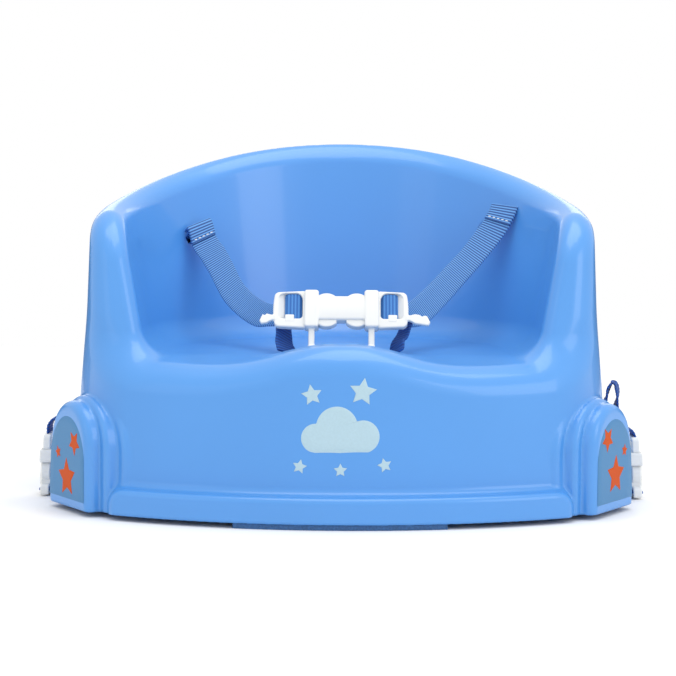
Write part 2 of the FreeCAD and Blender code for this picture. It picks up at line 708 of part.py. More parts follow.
def chair_tab(word, side):
    """The short tab of webbing from the side slot, over and down into the chair plug's frame."""
    y = size("side_slot_y")
    x = size("chair_buckle_x")
    window = size("chair_seam_z") + size("seam") + size("chair_window_x")
    z = size("side_slot_z")
    outline = [(size("side_bar_x"), z), (167, z), (175, z + 4), (182, z + 4), (x - 6, z - 2),
               (x - 5.2, z - 12), (x - 4.6, window + 3), (x - 2.5, window), (x + 3.5, window)]
    points = [Vector(side * a, y, b) for a, b in outline]
    strap = ribbon(f"{word}_chair_tab", points, [Vector(0, 1, 0)] * len(points),
                   size("web_wide"), size("web_thick"))
    node(strap, f"{word}_chair_tab")
    half = size("anchor_long") / 2
    bar = rod(f"{word}_chair_anchor", (f"{side} * (side_bar_x - 3)", f"side_slot_y - {half}",
                                       "side_slot_z"), "anchor_radius", "anchor_long", (0, 1, 0))
    node(bar, f"{word}_chair_anchor")


def chair_seat_strap():
    """The strap that goes under a chair's seat, stored flat under the base between the buckles."""
    x = size("chair_buckle_x")
    low = 1.0
    window = size("chair_seam_z") - size("web_end") - size("chair_end_long") / 2
    half = [(x + 3.5, window), (x - 5, window), (x - 10, window - 1), (x - 20, low), (0, low)]
    points = [Vector(a, 0, b) for a, b in half] + [Vector(-a, 0, b) for a, b in half[-2::-1]]
    points = [p + Vector(0, size("side_slot_y"), 0) for p in points]
    strap = ribbon("chair_seat_strap", points, [Vector(0, 1, 0)] * len(points),
                   size("web_wide"), size("web_thick"))
    node(strap, "chair_seat_strap")


def strap_radius():
    """The radius that the back strap's middle line follows round the shell."""
    rise = size("back_strap_z") - size("web_wide") / 2 - size("rim_low")
    wall = size("base_radius") - rise * math.tan(math.radians(size("draft")))
    return wall + size("back_gap") + size("web_thick") / 2


def chair_back_strap():
    """The strap that goes round a chair's back, stored snug round the back of the shell."""
    z = size("back_strap_z")
    radius = strap_radius()
    start = math.asin((size("back_slot_y") - size("arc_y")) / radius)
    steps = 28
    points, widths = [], []
    slot = Vector(radius * math.cos(start) - 9, size("back_slot_y"), z)
    for i in range(steps + 1):
        a = start + (math.pi - 2 * start) * i / steps
        points.append(Vector(radius * math.cos(a), size("arc_y") + radius * math.sin(a), z))
    points = [slot] + points + [Vector(-slot.x, slot.y, z)]
    strap = ribbon("chair_back_strap", points, [Vector(0, 0, 1)] * len(points),
                   size("web_wide"), size("web_thick"))
    node(strap, "chair_back_strap")


def back_slide():
    """The flat three-bar slide on the chair-back strap, behind the middle of the back."""
    face = f"arc_y + {strap_radius()} + web_thick / 2 + 0.2"
    blank = centred("slide_blank", ("0", f"{face} + slide_thick / 2", "back_strap_z"),
                    ("slide_long", "slide_thick", "slide_wide"))
    tools = [centred(f"slide_window_{i}", (f"{sign} * slide_long / 4.6", face, "back_strap_z"),
                     ("slide_long / 3.4", "9", "web_wide + 1"))
             for i, sign in enumerate(("-1", "1"))]
    node(cut("back_strap_slide", blank, *tools), "back_strap_slide")


def build():
    seat_shell()
    base_plate()
    base_screws()
    front_pad()
    rear_pads()
    side_decals()
    for word, side in (("left", -1), ("right", 1)):
        lap_anchor(side, word)
        lap_strap(side, word)
    crotch_strap()
    harness_buckle()
    chair_buckles()
    chair_seat_strap()
    chair_back_strap()
    back_slide()


def check():
    """Stops before anything is written if an object failed or a sub-part has no sound shape."""
    for item in doc.Objects:
        if "Invalid" in item.State or "Error" in item.State:
            raise RuntimeError(f"{item.Name} failed: {item.State}")
    for name, item in NODES:
        shape = item.Shape
        if shape.isNull() or not shape.isValid() or not shape.Solids:
            raise RuntimeError(f"{name} has no sound shape")
        print(f"{name:26s} solids {len(shape.Solids)}  volume {shape.Volume:10.1f} mm3")


build()
doc.recompute()
check()
os.makedirs("parts", exist_ok=True)
for name, item in NODES:
    item.Shape.exportStep(f"parts/{name}.step")
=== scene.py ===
import json
import math

import bpy
import numpy as np
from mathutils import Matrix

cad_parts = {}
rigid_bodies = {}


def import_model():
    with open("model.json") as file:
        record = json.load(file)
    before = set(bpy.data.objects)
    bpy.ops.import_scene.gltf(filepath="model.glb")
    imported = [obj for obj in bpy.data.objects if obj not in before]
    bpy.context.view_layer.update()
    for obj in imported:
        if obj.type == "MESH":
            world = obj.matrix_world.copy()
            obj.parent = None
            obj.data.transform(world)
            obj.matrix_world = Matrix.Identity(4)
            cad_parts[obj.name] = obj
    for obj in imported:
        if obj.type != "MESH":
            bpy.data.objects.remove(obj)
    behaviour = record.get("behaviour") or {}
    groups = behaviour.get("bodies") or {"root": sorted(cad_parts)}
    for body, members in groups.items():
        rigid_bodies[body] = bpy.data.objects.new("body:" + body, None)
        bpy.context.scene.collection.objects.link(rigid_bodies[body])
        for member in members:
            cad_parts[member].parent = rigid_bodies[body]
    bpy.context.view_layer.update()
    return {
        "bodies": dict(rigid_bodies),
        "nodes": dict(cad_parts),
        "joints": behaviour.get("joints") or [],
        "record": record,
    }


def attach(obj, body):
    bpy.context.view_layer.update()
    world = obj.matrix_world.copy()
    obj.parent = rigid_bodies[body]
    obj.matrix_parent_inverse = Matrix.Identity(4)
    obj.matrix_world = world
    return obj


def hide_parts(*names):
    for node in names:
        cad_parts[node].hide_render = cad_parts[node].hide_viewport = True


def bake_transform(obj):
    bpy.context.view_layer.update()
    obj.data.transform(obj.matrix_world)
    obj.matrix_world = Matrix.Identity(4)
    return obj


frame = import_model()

import openvdb
from mathutils import Matrix, Vector

# Child booster seat: a glossy moulded shell with a lap harness and chair straps.
# Sizes are millimetres in the CAD model's frame: +Z up, -Y to the front, left is -X.

MM = 0.001
FINE = 0.36    # voxel of the buckle mouldings

# ---------------------------------------------------------------- distance fields


def round_both(a, b, radius):
    """Where both hold: the intersection of two distance fields with a rounded edge."""
    outer = np.hypot(np.maximum(a + radius, 0), np.maximum(b + radius, 0))
    return np.minimum(np.maximum(a, b) + radius, 0) + outer - radius


def round_either(a, b, radius):
    """The union of two distance fields with a round fillet between them."""
    return -round_both(-a, -b, radius)


def soft_union(a, b, reach):
    """The union of two distance fields with a smooth blend between them."""
    mix = np.clip(0.5 + 0.5 * (b - a) / reach, 0, 1)
    return b + (a - b) * mix - reach * mix * (1 - mix)


def smooth_step(value, low, high):
    """0 up to low, 1 from high, and a smooth rise between them."""
    t = np.clip((value - low) / (high - low), 0, 1)
    return t * t * (3 - 2 * t)


def rect(x, z, half_x, half_z, corner):
    """Distance to a rectangle about the origin with round corners."""
    dx, dz = np.abs(x) - half_x + corner, np.abs(z) - half_z + corner
    outer = np.hypot(np.maximum(dx, 0), np.maximum(dz, 0))
    return outer + np.minimum(np.maximum(dx, dz), 0) - corner


def bar(x, y, z, half_x, half_y, half_z, edge):
    """Distance to a box about the origin with round edges."""
    dx, dy, dz = np.abs(x) - half_x + edge, np.abs(y) - half_y + edge, np.abs(z) - half_z + edge
    outer = np.sqrt(np.maximum(dx, 0) ** 2 + np.maximum(dy, 0) ** 2 + np.maximum(dz, 0) ** 2)
    return outer + np.minimum(np.maximum(dx, np.maximum(dy, dz)), 0) - edge


def slope_at(points, field, step):
    """A field's slope at points, by central differences."""
    x, y, z = points.T
    return np.stack([field(x + step, y, z) - field(x - step, y, z),
                     field(x, y + step, z) - field(x, y - step, z),
                     field(x, y, z + step) - field(x, y, z - step)], axis=1) / (2 * step)


def settle(points, field, step, rounds):
    """Moves points onto the zero surface of a field along its slope."""
    for _ in range(rounds):
        value = field(*points.T)
        slope = slope_at(points, field, step)
        size = np.maximum((slope**2).sum(1), 0.25)
        points = points - slope * np.clip(value / size, -20 * step, 20 * step)[:, None]
    return points


def add_piece(name, points, faces, smooth=True):
    """A new mesh object; points are millimetres."""
    mesh = bpy.data.meshes.new(name)
    mesh.from_pydata((np.asarray(points, float) * MM).tolist(), [], faces)
    mesh.polygons.foreach_set("use_smooth", [smooth] * len(mesh.polygons))
    mesh.update()
    piece = bpy.data.objects.new(name, mesh)
    bpy.context.scene.collection.objects.link(piece)
    return piece


def field_mesh(name, field, low, high, voxel, place=None):
    """A mesh of a field's zero surface, turned and moved by a 4x4 matrix."""
    axes = [np.arange(a, b + voxel, voxel, dtype=np.float64) for a, b in zip(low, high)]
    x, y, z = axes[0][:, None, None], axes[1][None, :, None], axes[2][None, None, :]
    values = np.ascontiguousarray(np.clip(field(x, y, z), -4 * voxel, 4 * voxel), np.float32)
    grid = openvdb.FloatGrid(4 * voxel)
    grid.copyFromArray(values)
    points, triangles, quads = grid.convertToPolygons(0.0, 0.0)
    points = np.asarray(points, float) * voxel + np.array([a[0] for a in axes])
    points = settle(points, field, voxel * 0.04, 4)
    normals = slope_at(points, field, voxel * 0.15)
    normals /= np.maximum(np.linalg.norm(normals, axis=1), 1e-6)[:, None]
    if place is not None:
        turn = np.array(place)
        points = points @ turn[:3, :3].T + turn[:3, 3]
        normals = normals @ turn[:3, :3].T
    faces = np.asarray(quads).tolist()
    if len(triangles):
        faces += np.asarray(triangles).tolist()
    piece = add_piece(name, points, faces)
    piece.data.normals_split_custom_set_from_vertices(normals.tolist())
    return piece


# ---------------------------------------------------------------- the shell's shape

RIM_LOW = 3.0
ARC_Y, BASE_RADIUS, DRAFT = -23.0, 166.0, math.tan(math.radians(2.2))
SIDE_RADIUS = 300.0
FRONT_CENTRE_Y, APRON_RADIUS, SKIRT_RADIUS = 172.0, 306.0, 315.0
APRON_DRAFT = math.tan(math.radians(4.0))
FLARE = 2.4
PAN_Z, BUCKET_RADIUS, BUCKET_Y, BUCKET_DRAFT = 97.0, 120.0, -26.0, math.radians(12)
POD_X, POD_Y, POD_ANGLE, POD_HALF, POD_TALL = 153.0, -104.0, math.radians(56.9), 29.25, 69.0
POD_LEAN = 0.045
SKIRT_TOP, SKIRT_HALF = 19.0, 140.0
WALL = 3.0
SHELL_VOXEL = 1.7     # its diagonal is less than WALL, so the two faces of the wall never share a cell
BOSS_X, BOSS_FRONT_Y, BOSS_REAR_Y, BOSS_RADIUS, BOSS_FOOT = 76.0, -75.0, 52.0, 5.0, 5.5
PILOT_RADIUS, PILOT_TOP = 1.9, 18.0
LAP_SLOT_Z, LAP_SLOT_TURN, LAP_SLOT_TILT = 171.0, math.radians(48), math.radians(30)
CROTCH_Y = -69.0
TAB_X, TAB_Y, TAB_Z = 162.0, -8.0, 60.0
BACK_SLOT_X, BACK_SLOT_Y, BACK_STRAP_Z = 150.0, 40.0, 92.0
STRAP_RISE = 79.5     # height at which the back's radius is taken for its strap
BACK_RADIUS = BASE_RADIUS - STRAP_RISE * DRAFT


def wall_field(x, y, z):
    """Distance to the outer wall: round back, slightly turned-in sides, bowed front."""
    rise = z - RIM_LOW
    back = np.hypot(x, y - ARC_Y) - BASE_RADIUS
    side = np.hypot(np.abs(x) + SIDE_RADIUS - BASE_RADIUS, y - ARC_Y) - SIDE_RADIUS
    around = np.where(y > ARC_Y, back, side) + rise * DRAFT
    around = around - FLARE * smooth_step(-z, -130, -60) * smooth_step(-y, -30, 20)
    front = np.hypot(x, y - FRONT_CENTRE_Y) - APRON_RADIUS + rise * APRON_DRAFT
    front = np.where(y > 60, -80.0, front)
    return round_both(around, front, 26.0)


def rim_height(y):
    """The rim's height along the seat: level arms, then a rising back."""
    arm = 183 + (y + 57) * 0.177
    back = 203 + (y - 56) * 0.445
    mix = np.clip(0.5 + 0.5 * (back - arm) / 14, 0, 1)
    return arm + (back - arm) * mix + 14 * mix * (1 - mix) - 1.6


def seat_floor(x, y):
    """Height of the seat's surface: a near level pan, lower at the lip, with a pommel."""
    dip = -4.5 * smooth_step(-y, 62, 112)
    hump = np.exp(-((np.abs(x) / 47.0) ** 2.4)) * 13.5 * smooth_step(-y, 66, 104)
    return PAN_Z + 0.5 + 0.008 * (y + 60) + dip + hump


def inside_wall(x, y, z):
    """Distance to the cone of the seat's inner wall, open to the front; negative inside it."""
    reach = np.where(y > BUCKET_Y, np.hypot(x, y - BUCKET_Y), np.abs(x))
    return (reach - BUCKET_RADIUS) * math.cos(BUCKET_DRAFT) - (z - PAN_Z) * math.sin(BUCKET_DRAFT)


def body_field(x, y, z):
    """Arms, back, pan and apron, cut to the outer wall with a soft rim."""
    lean = math.atan2(26, 89)
    front = -((y + 83) * math.cos(lean) - (z - 94) * math.sin(lean))
    arms = round_both(front, (z - rim_height(y)) * 0.95, 24.0)
    arms = round_both(arms, -inside_wall(x, y, z), 8.5)
    inner = round_either(arms, (z - seat_floor(x, y)) * 0.97, 15.0)
    edge = 11 - 7 * smooth_step(y, -20, 110) + 6 * smooth_step(-z, -125, -100)
    return round_both(wall_field(x, y, z), inner, edge)


def skirt_field(x, y, z):
    """The stepped-out band along the foot of the front, its ends turned down."""
    away = np.hypot(x, y - FRONT_CENTRE_Y)
    end = round_both(np.abs(x) - SKIRT_HALF, z - SKIRT_TOP, 10.0)
    face = round_both(away - SKIRT_RADIUS + (z - RIM_LOW) * 0.05, end, 4.0)
    return np.maximum(face, APRON_RADIUS - 12 - away)


def pod_field(x, y, z):
    """Corner pods with their two stepped borders; both sides at once."""
    side = np.abs(x)
    c, s = math.cos(POD_ANGLE), math.sin(POD_ANGLE)
    along = (side - POD_X) * c + (y - POD_Y) * s - POD_HALF
    inward = -(side - POD_X) * s + (y - POD_Y) * c
    narrow = POD_LEAN * (z - RIM_LOW)
    along, half_here = along + narrow, POD_HALF - narrow
    field = None
    for step, edge in ((2, 3.5), (1, 3.5), (0, 5.5)):
        half, spring = half_here + 7 * step, RIM_LOW + POD_TALL - POD_HALF - 4 * step
        arch = np.where(z > spring, np.hypot(along, z - spring), np.abs(along)) - half
        layer = round_both(arch, np.maximum(9.0 * step - inward, inward - 46), edge)
        field = layer if field is None else soft_union(field, layer, 1.6)
    return field


def slot_field(x, y, z):
    """Slots for the lap straps, the crotch strap, the side tabs and the back strap."""
    side = np.abs(x)
    turn, tilt = LAP_SLOT_TURN, LAP_SLOT_TILT
    radius = BUCKET_RADIUS + (LAP_SLOT_Z - PAN_Z) * math.tan(BUCKET_DRAFT)
    px, py = radius * math.sin(turn), BUCKET_Y + radius * math.cos(turn)
    out = (side - px) * math.sin(turn) + (y - py) * math.cos(turn)
    level = -(side - px) * math.cos(turn) + (y - py) * math.sin(turn)
    width = level * math.cos(tilt) + (z - LAP_SLOT_Z) * math.sin(tilt)
    across = -level * math.sin(tilt) + (z - LAP_SLOT_Z) * math.cos(tilt)
    lap = bar(width, out, across, 11.0, 9.0, 2.6, 1)
    crotch = bar(x, y - CROTCH_Y, z - PAN_Z, 14.5, 2.8, 9.0, 1)
    tab = bar(side - TAB_X, y - TAB_Y, z - TAB_Z, 9.0, 12.0, 2.8, 1)
    back = bar(side - BACK_SLOT_X, y - BACK_SLOT_Y, z - BACK_STRAP_Z, 13.0, 2.4, 12.0, 1)
    return np.minimum(np.minimum(lap, crotch), np.minimum(tab, back))


def boss_field(x, y, radius):
    """Four endless upright round posts, one for each screw."""
    reach = np.minimum(np.abs(y - BOSS_FRONT_Y), np.abs(y - BOSS_REAR_Y))
    return np.hypot(np.abs(x) - BOSS_X, reach) - radius


def shell_field(x, y, z):
    """Signed distance to the moulded shell: a thin wall, open below, with four bosses."""
    body = round_either(body_field(x, y, z), skirt_field(x, y, z), 5.0)
    body = round_either(body, pod_field(x, y, z), 2.0)
    skin = round_both(round_both(body, RIM_LOW - z, 1.6), -(body + WALL), 0.8)
    bosses = np.maximum(boss_field(x, y, BOSS_RADIUS), BOSS_FOOT - z)
    solid = round_either(skin, np.maximum(bosses, body + WALL / 2), 0.8)
    pilots = np.maximum(boss_field(x, y, PILOT_RADIUS), z - PILOT_TOP)
    return round_both(np.maximum(solid, -pilots), -slot_field(x, y, z), 1.0)


# ---------------------------------------------------------------- materials


def new_material(name):
    """A node material, with its nodes, its links and its shader."""
    material = bpy.data.materials.new(name)
    material.use_nodes = True
    nodes, links = material.node_tree.nodes, material.node_tree.links
    return material, nodes, links, nodes["Principled BSDF"]


def noise(nodes, links, scale, detail=2.0):
    """A noise texture in object space; returns its value output."""
    place = nodes.new("ShaderNodeTexCoord")
    texture = nodes.new("ShaderNodeTexNoise")
    texture.inputs["Scale"].default_value = scale
    texture.inputs["Detail"].default_value = detail
    links.new(place.outputs["Object"], texture.inputs["Vector"])
    return texture.outputs["Fac"]


def spread(nodes, links, source, low, high):
    """Maps a value from 0..1 to low..high."""
    node = nodes.new("ShaderNodeMapRange")
    node.inputs["To Min"].default_value = low
    node.inputs["To Max"].default_value = high
    links.new(source, node.inputs["Value"])
    return node.outputs["Result"]


def blend_colour(nodes, links, factor, first, second):
    """Mixes two colours by a texture; returns the colour output."""
    node = nodes.new("ShaderNodeMix")
    node.data_type = "RGBA"
    node.inputs["A"].default_value = (*first, 1)
    node.inputs["B"].default_value = (*second, 1)
    links.new(factor, node.inputs["Factor"])
    return node.outputs["Result"]


def bump(nodes, links, shader, height, distance):
    """Relief of the given depth, in metres, from a texture."""
    node = nodes.new("ShaderNodeBump")
    node.inputs["Distance"].default_value = distance
    links.new(height, node.inputs["Height"])
    links.new(node.outputs["Normal"], shader.inputs["Normal"])


def plastic(name, colour, roughness, coat=0.0, grain=900.0, depth=0.00001):
    """Moulded plastic: faint mottling, a fine skin texture and slightly uneven gloss."""
    material, nodes, links, shader = new_material(name)
    broad = noise(nodes, links, 16.0, 4.0)
    links.new(spread(nodes, links, broad, roughness * 0.8, roughness * 1.25),
              shader.inputs["Roughness"])
    tint = blend_colour(nodes, links, broad, [c * 0.96 for c in colour],
                        [min(c * 1.04, 1) for c in colour])
    links.new(tint, shader.inputs["Base Color"])
    bump(nodes, links, shader, noise(nodes, links, grain), depth)
    shader.inputs["Coat Weight"].default_value = coat
    shader.inputs["Coat Roughness"].default_value = 0.1
    return material


def webbing_look(name, dark, light):
    """Ribbed polyester webbing: pale crests over dark grooves, which are a painted highlight on the
    crests and painted shade in the grooves, with a fibre-fine nap.
    """
    material, nodes, links, shader = new_material(name)
    crest = nodes.new("ShaderNodeAttribute")
    crest.attribute_name = "crest"
    fibre = noise(nodes, links, 2600.0)
    shift = nodes.new("ShaderNodeMath")
    shift.operation = "MULTIPLY"
    links.new(crest.outputs["Fac"], shift.inputs[0])
    links.new(spread(nodes, links, fibre, 0.7, 1.25), shift.inputs[1])
    # The crest value picks the colour: the light colour is a painted highlight on the rib crests, the
    # dark one painted shade in the grooves.
    links.new(blend_colour(nodes, links, shift.outputs[0], dark, light),
              shader.inputs["Base Color"])
    links.new(spread(nodes, links, fibre, 0.6, 0.85), shader.inputs["Roughness"])
    bump(nodes, links, shader, fibre, 0.0001)
    return material


def print_look(name, colour, roughness):
    """Screen-printed ink: nearly flat, with a little speckle."""
    material, nodes, links, shader = new_material(name)
    speckle = noise(nodes, links, 700.0, 3.0)
    links.new(blend_colour(nodes, links, speckle, [c * 0.93 for c in colour],
                           [min(c * 1.07, 1) for c in colour]), shader.inputs["Base Color"])
    links.new(spread(nodes, links, speckle, roughness * 0.85, roughness * 1.2),
              shader.inputs["Roughness"])
    shader.inputs["Specular IOR Level"].default_value = 0.2
    return material


def rubber(name, colour):
    """Matt elastomer with a pebbled grip texture."""
    material, nodes, links, shader = new_material(name)
    place = nodes.new("ShaderNodeTexCoord")
    pebble = nodes.new("ShaderNodeTexVoronoi")
    pebble.inputs["Scale"].default_value = 900.0
    links.new(place.outputs["Object"], pebble.inputs["Vector"])
    links.new(blend_colour(nodes, links, pebble.outputs["Distance"], colour,
                           [c * 1.7 for c in colour]), shader.inputs["Base Color"])
    shader.inputs["Roughness"].default_value = 0.72
    bump(nodes, links, shader, pebble.outputs["Distance"], 0.00025)
    return material


def metal(name):
    """Zinc-plated steel with fine turning marks."""
    material, nodes, links, shader = new_material(name)
    shader.inputs["Metallic"].default_value = 1.0
    fine = noise(nodes, links, 1800.0)
    links.new(blend_colour(nodes, links, fine, (0.5, 0.5, 0.5), (0.68, 0.68, 0.66)),
              shader.inputs["Base Color"])
    links.new(spread(nodes, links, fine, 0.25, 0.45), shader.inputs["Roughness"])
    return material


def give(piece, material):
    """Makes this the piece's only material."""
    piece.data.materials.clear()
    piece.data.materials.append(material)


BLUE = plastic("moulded_blue", (0.072, 0.288, 0.70), 0.36, coat=0.45)
BASE_BLUE = plastic("base_blue", (0.045, 0.17, 0.43), 0.5, grain=500.0, depth=0.0001)
WHITE = plastic("buckle_white", (0.80, 0.805, 0.78), 0.37, grain=1500.0)
GREY = plastic("anchor_grey", (0.30, 0.31, 0.33), 0.5)
NAVY = rubber("grip_navy", (0.022, 0.075, 0.19))
LABEL = print_look("label_blue", (0.072, 0.225, 0.44), 0.42)
ORANGE = print_look("star_orange", (0.56, 0.075, 0.004), 0.55)
PALE = print_look("pale_print", (0.42, 0.58, 0.66), 0.4)
STEEL = metal("zinc_steel")
# Each webbing look runs from its groove colour to its crest colour: painted shade in the grooves,
# painted highlight on the crests.
WEB = webbing_look("webbing_blue", (0.004, 0.038, 0.20), (0.15, 0.40, 0.80))
SOFT_WEB = webbing_look("webbing_wrap", (0.02, 0.12, 0.40), (0.08, 0.27, 0.64))
# Navy webbing for the chair straps; on the lap straps' free ends, which are the same blue webbing as
# the lap straps, it is painted shade.
NAVY_AND_SHADE_WEB = webbing_look("webbing_navy_and_shade", (0.003, 0.03, 0.17), (0.012, 0.10, 0.40))
THREAD = print_look("white_thread", (0.78, 0.80, 0.82), 0.7)
SLOT_LOOK = {"shell_blue": BLUE, "base_blue": BASE_BLUE, "grip_navy": NAVY, "webbing": WEB,
             "buckle_white": WHITE, "decal": LABEL, "steel": STEEL, "anchor_grey": GREY}
for part in frame["record"]["subparts"]:
    give(frame["nodes"][part["node"]], SLOT_LOOK[part["material_slot"]])


def finish_piece(piece, look, slot, body, *nodes):
    """Gives a piece its material, makes it ride and hides the CAD nodes it stands for; the slot
    argument is not used.
    """
    give(piece, look)
    if body:
        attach(piece, body)
    if nodes:
        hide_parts(*nodes)
    return piece


def make_shell():
    """The moulded shell, one mesh with its bosses, slots and hollow."""
    piece = field_mesh("moulded_shell", shell_field, (-195, -150, -1), (195, 150, 244),
                       SHELL_VOXEL)
    finish_piece(piece, BLUE, "shell_blue", "root", "seat_shell")


# ---------------------------------------------------------------- side-release buckles
# Local frame of one half, in millimetres: X = 0 at the seam with the plug on +X, Z across the
# webbing and -Y to the front. The harness buckle mirrors it about its middle.

WEB_END = 23.2            # from the middle of the harness buckle to each seam
FRAME_HALF = 12.4         # half the height of every collar and frame
LOOP_Z = -25.5            # the receiver's bar that the crotch strap goes round
BUCKLE_PLACE, BUCKLE_LEAN = (0, -59, 124), math.radians(-25)
CHAIR_X, CHAIR_Z, CHAIR_LEAN = 193, 31, 0.06
LAP_PLUGS = (("left", -1, 19.4, 8.4), ("right", 1, 18.4, 13.5))
LAP_ARMS = (("upper", 1, 10.7), ("lower", -1, 11.8))
CHAIR_ARM_PROUD = 11.2


def receiver_field(x, y, z):
    """Double socket: two proud collars, a narrow body, and a loop below for the crotch strap."""
    side = np.abs(x)
    collar = round_both(rect(side - 18.7, z, 4.5, FRAME_HALF, 1.8), np.abs(y) - 5.0, 1.3)
    crown = 4.6 - 0.012 * z**2
    body = round_both(rect(side, z - 0.6, 17.0, 8.1, 1.5), np.abs(y) - crown, 1.5)
    solid = soft_union(collar, body, 1.0)
    legs = bar(side - 18.6, y, z + 19.0, 1.9, 1.6, 7.5, 0.9)
    loop = round_either(legs, bar(side, y, z - LOOP_Z, 20.4, 1.6, 1.7, 0.9), 1.5)
    solid = round_either(solid, loop, 1.0)
    room = np.maximum(np.maximum(np.abs(y) - 3.2, np.abs(z) - 11.0), 4.5 - side)
    return np.maximum(solid, -room)


def socket_field(x, y, z):
    """Single socket with an end frame that holds the strap under the chair."""
    y = y + CHAIR_LEAN * (x + 30)
    collar = round_both(rect(x + 4.5, z, 4.5, FRAME_HALF, 1.8), np.abs(y) - 4.4, 1.2)
    body = round_both(rect(x + 14.0, z, 10.0, 8.0, 1.5), np.abs(y) - 4.0, 1.4)
    end = round_both(rect(x + 26.6, z, 3.5, 12.3, 2.4), np.abs(y) - 2.8, 0.9)
    solid = round_either(soft_union(collar, body, 1.0), end, 1.5)
    slot = np.maximum(rect(x + 26.6, z, 1.5, 10.0, 1.0), np.abs(y) - 9)
    room = np.maximum(np.maximum(np.abs(y) - 3.2, np.abs(z) - 11.0), np.abs(x + 9.4) - 9.4)
    return np.maximum(solid, -np.minimum(room, slot))


def plug_core(x, y, z, frame):
    """Neck flange, guide tongue and the roots that a frame of any length shares."""
    flange = bar(x + 0.4, y, z, 0.9, 3.0, 10.7, 0.5)
    neck = bar(x + 3.6, y, z, 3.4, 2.9, 6.3, 0.6)
    guide = round_both(rect(x + 11.0, z, 6.0, 2.5, 1.2), np.abs(y) - 2.0, 0.7)
    core = np.minimum(np.minimum(flange, neck), guide)
    return round_either(frame, core, 0.6)


def lap_plug_field(x, y, z, long, tail):
    """The harness plug: a ladder frame with one wide window, a bar and a stubby lever."""
    bow = x + z**2 / 110
    taper = FRAME_HALF - 0.05 * x
    half = long / 2 + 0.15
    frame = round_both(rect(bow - long + half, z * FRAME_HALF / taper, half, FRAME_HALF, 2.6),
                       np.abs(y) - 2.6, 1.1)
    corner = np.where(z > 2.3, 4.4, 2.2)
    window = round_both(rect(x - long / 2 + 1.1, z - 2.3, long / 2 - 2.2, 8.5, corner),
                        np.abs(y) - 9, 0.1)
    frame = round_both(frame, -window, 0.7)
    ramp = np.maximum(np.maximum(rect(x - long + 5.0, z - 2.3, 2.6, 8.9, 0.3), np.abs(y) - 2.4),
                      -((y + 2.2) * 0.76 - (long - 3.4 - x) * 0.65))
    post = bar(x - 8.6, y - 0.9, z, 1.5, 1.1, 11.0, 0.6)
    tooth = bar(x - long / 2 + 0.6, y + 1.9, z + 6.0, 2.8, 0.9, 2.4, 0.6)
    frame = np.minimum(np.minimum(frame, ramp), np.minimum(post, tooth))
    grow = smooth_step(x, long + 0.5, long + 4.5)
    low = z + 5.4 + 0.16 * (x - long)
    lever = np.abs(low) - 1.8 - 1.3 * grow
    lever = np.maximum(np.maximum(lever, x - long - tail + 0.5 * np.abs(low + 0.8)), long - 2 - x)
    notch = np.hypot(x - long - tail * 0.62, low - 3.4) - 1.1
    lever = round_both(round_both(lever, -notch, 0.4), np.abs(y + 1.2) - 1.5, 0.7)
    return plug_core(x, y, z, round_either(frame, lever, 0.8))


def chair_plug_field(x, y, z):
    """The chair strap's plug: the same latch with a short frame."""
    y = y + CHAIR_LEAN * (x + 30)
    frame = round_both(rect(x - 5.3 + z**2 / 160, z, 5.0, FRAME_HALF, 2.2), np.abs(y) - 2.6, 1.1)
    window = rect(x - 5.1, z, 2.2, 10.0, 1.4)
    frame = round_both(frame, -window, 0.6)
    return plug_core(x, y, z, frame)


def squeeze_arm_field(x, y, z, proud):
    """One springy arm on the +Z side, with a half-moon finger tab that stands proud."""
    stem = bar(x + 9.8, y, z - 8.3, 7.4, 2.4, 0.95, 0.6)
    arch = np.hypot((x + 13.8) * 0.9, z - proud + 7.35) - 7.35
    tab = np.maximum(np.maximum(arch, 6.2 - z), np.abs(x + 13.8) - 6.4)
    tab = round_both(tab, np.abs(y) - 3.0, 0.8)
    return soft_union(stem, tab, 0.8)


def buckle_matrix():
    """Local X across, Z up the lean and Y through the thickness of the harness buckle."""
    return Matrix.Translation(BUCKLE_PLACE) @ Matrix.Rotation(BUCKLE_LEAN, 4, "X")


def chair_matrix(side):
    """A chair buckle hangs upright: local X up, Z along the seat's depth, Y across."""
    return Matrix(((0, side, 0, side * CHAIR_X), (0, 0, side, TAB_Y), (1, 0, 0, CHAIR_Z),
                   (0, 0, 0, 1)))


def make_lap_buckle():
    """The receiver and, on each side, a plug with its two squeeze arms."""
    place = buckle_matrix()
    piece = field_mesh("receiver_moulding", receiver_field, (-25, -7, -29), (25, 7, 14), FINE,
                       place)
    finish_piece(piece, WHITE, "buckle_white", "root", "buckle_receiver")
    for word, side, long, tail in LAP_PLUGS:
        def plug(x, y, z):
            return lap_plug_field(side * x - WEB_END, y, z, long, tail)
        low, high = sorted((side * 4.0, side * 58.0))
        piece = field_mesh(f"{word}_plug_moulding", plug, (low, -5, -14), (high, 5, 14), FINE,
                           place)
        finish_piece(piece, WHITE, "buckle_white", f"{word}_plug", f"{word}_plug")
        for height, turn, proud in LAP_ARMS:
            def arm(x, y, z):
                return squeeze_arm_field(side * x - WEB_END, y, turn * z, proud)
            low, high = sorted((side * 1.0, side * 23.0))
            bottom, top = sorted((turn * 5.0, turn * 13.0))
            node = f"{word}_plug_{height}_arm"
            piece = field_mesh(f"{node}_moulding", arm, (low, -4, bottom), (high, 4, top),
                               FINE, place)
            finish_piece(piece, WHITE, "buckle_white", node, node)


